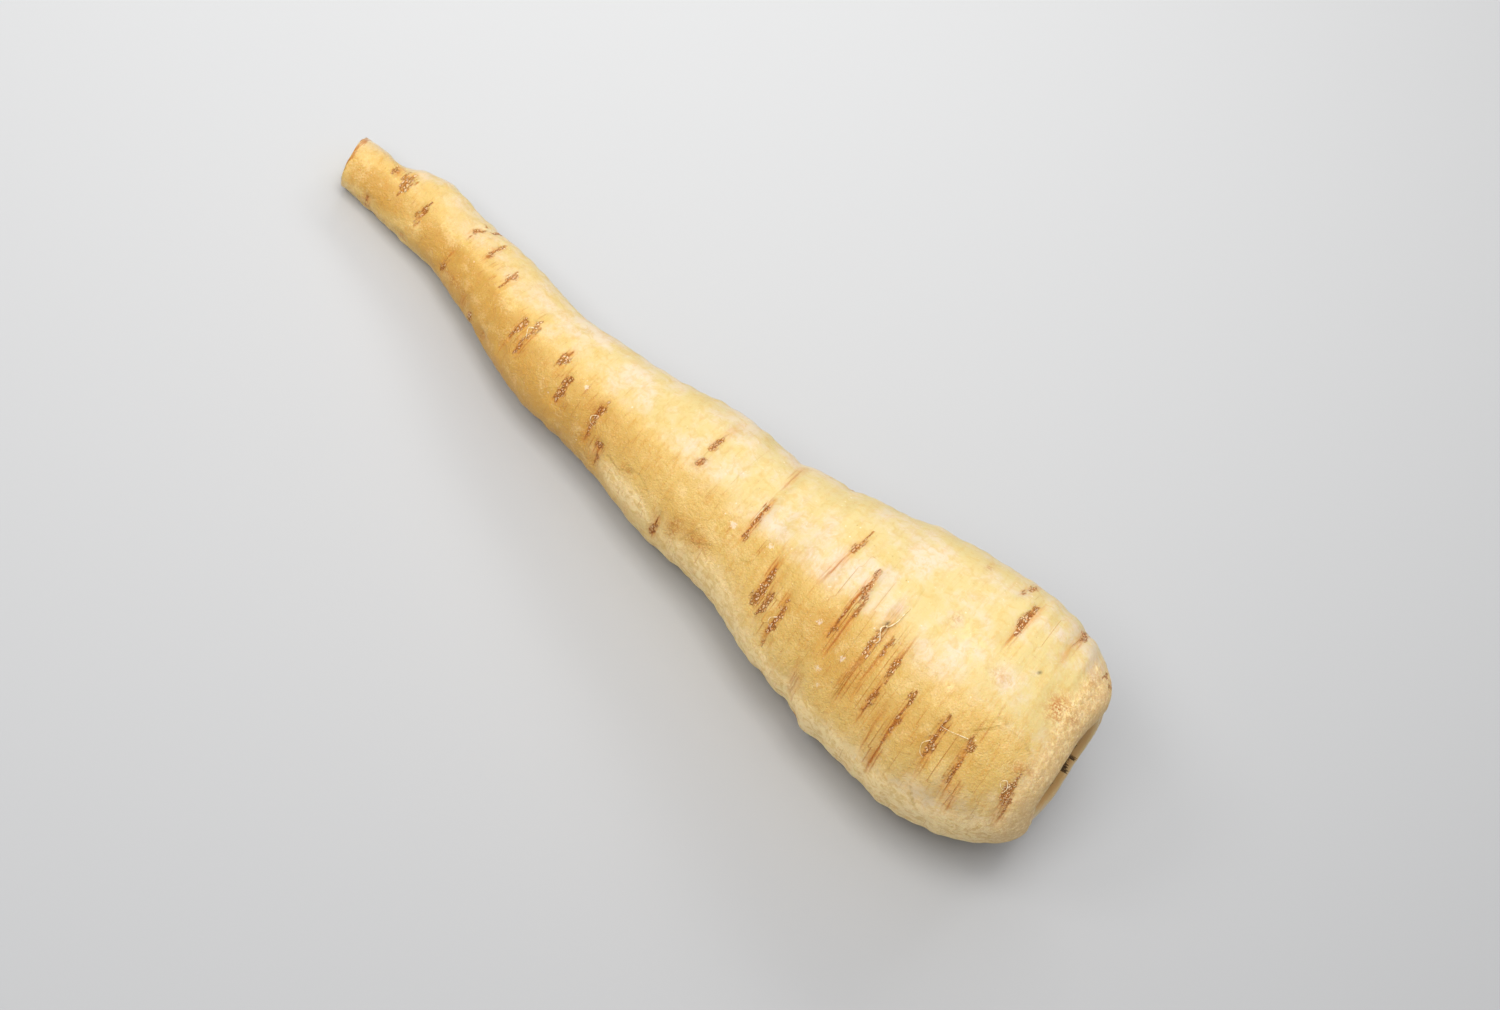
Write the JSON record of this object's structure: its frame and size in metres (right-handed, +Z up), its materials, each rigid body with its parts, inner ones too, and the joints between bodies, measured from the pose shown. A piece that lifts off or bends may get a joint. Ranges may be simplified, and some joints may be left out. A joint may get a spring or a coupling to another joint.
{
  "type": "parsnip",
  "caption": "Whole parsnip tap root lying on its side: broad ringed shoulder, sunken crown with dry leaf stubs, long bowed taper to a cut tip.",
  "frame": {"origin": "middle of the root's box, on the surface that it lies on", "axes": "+X towards the crown, along the root; +Z up, away from the surface"},
  "size_m": [0.2183, 0.0582, 0.058],
  "materials": {
    "skin": "satin",
    "dry_stalk": "matte"
  },
  "bodies": {
    "root": {"taproot": "skin", "leaf_stubs": "dry_stalk"}
  },
  "joints": []
}
